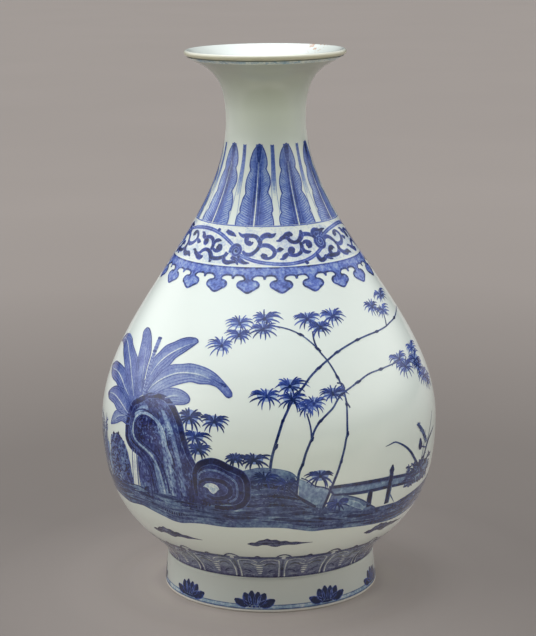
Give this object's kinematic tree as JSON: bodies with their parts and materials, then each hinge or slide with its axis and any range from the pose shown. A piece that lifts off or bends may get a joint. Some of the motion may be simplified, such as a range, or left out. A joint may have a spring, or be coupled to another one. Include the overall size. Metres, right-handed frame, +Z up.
{
  "type": "pear-shaped vase",
  "caption": "Pear-shaped porcelain vase with a slender waist, flared trumpet mouth and ring foot, painted blue on white with a garden scene between bands of leaves, scrolls and lappets.",
  "frame": {"origin": "centre of the flat foot rim, on the plane that the vase stands on", "axes": "+Z up along the axis that every section is turned about; -Y towards the side with the garden scene's rocks and bamboo"},
  "size_m": [0.1778, 0.1778, 0.285],
  "materials": {
    "glazed_porcelain": "glossy, faintly blue-green clear glaze over white porcelain, with underglaze cobalt blue drawing",
    "cobalt_drawing": "underglaze cobalt blue, mottled, under the same glossy glaze",
    "bare_porcelain": "unglazed biscuit, matt, faintly orange where it met the kiln floor"
  },
  "bodies": {
    "root": {"foot_ring": "glazed_porcelain", "foot_slip": "bare_porcelain", "lower_body": "glazed_porcelain", "belly_slip": "bare_porcelain", "upper_body": "glazed_porcelain", "neck_slip": "bare_porcelain", "neck": "glazed_porcelain"}
  },
  "joints": []
}
